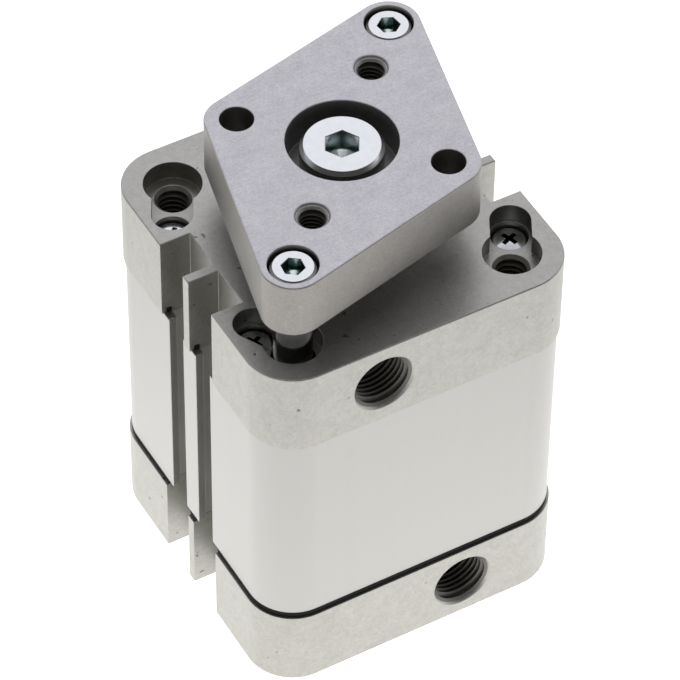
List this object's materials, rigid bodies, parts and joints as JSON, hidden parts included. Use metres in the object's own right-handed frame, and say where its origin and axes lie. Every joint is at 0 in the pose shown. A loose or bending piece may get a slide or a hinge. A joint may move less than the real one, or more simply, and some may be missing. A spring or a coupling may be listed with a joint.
{
  "type": "compact pneumatic cylinder",
  "caption": "Compact square pneumatic cylinder with slotted barrel, end caps with air ports, and a rhombic guide plate carried by the piston rod and guide rods.",
  "frame": {"origin": "centre of the rear cap's outer face", "axes": "+Z along the piston rod, out of the front cap; the air ports face -Y; the sensor slots face +X and -X"},
  "size_m": [0.054, 0.054, 0.0865],
  "materials": {
    "cast_aluminium": "die-cast, blasted",
    "anodised_barrel": "extruded, clear anodised, satin",
    "plate_aluminium": "milled, clear anodised, matt",
    "machined_aluminium": "turned",
    "zinc_steel": "bright zinc plated",
    "polished_steel": "ground and polished",
    "bearing_lining": "filled slide plastic, dark",
    "gasket_rubber": "matt black",
    "seal_rubber": "moulded, matt",
    "ring_plastic": "filled slide plastic",
    "ring_magnet": "sintered ferrite"
  },
  "bodies": {
    "housing": {"end_cap": "cast_aluminium", "rear_gasket": "gasket_rubber", "barrel": "anodised_barrel", "front_gasket": "gasket_rubber", "bearing_cap": "cast_aluminium", "rear_cap_screws": "zinc_steel", "front_cap_screws": "zinc_steel", "rear_bumper": "seal_rubber", "front_bumper": "seal_rubber", "rod_bush": "bearing_lining", "rod_seal": "seal_rubber", "guide_bush_left": "bearing_lining", "guide_bush_right": "bearing_lining"},
    "rod_assembly": {"piston_rod": "polished_steel", "piston_rear_half": "machined_aluminium", "piston_front_half": "machined_aluminium", "piston_seal_rear": "seal_rubber", "piston_seal_front": "seal_rubber", "piston_guide_ring": "ring_plastic", "magnet_ring": "ring_magnet", "piston_screw": "zinc_steel", "guide_rod_left": "polished_steel", "guide_rod_right": "polished_steel", "guide_plate": "plate_aluminium", "centre_screw": "zinc_steel", "guide_rod_screws": "zinc_steel"}
  },
  "joints": [
    {"name": "rod_slide", "type": "slide", "parent": "housing", "child": "rod_assembly", "axis": [0, 0, 1], "range_m": [0, 0.025]}
  ]
}
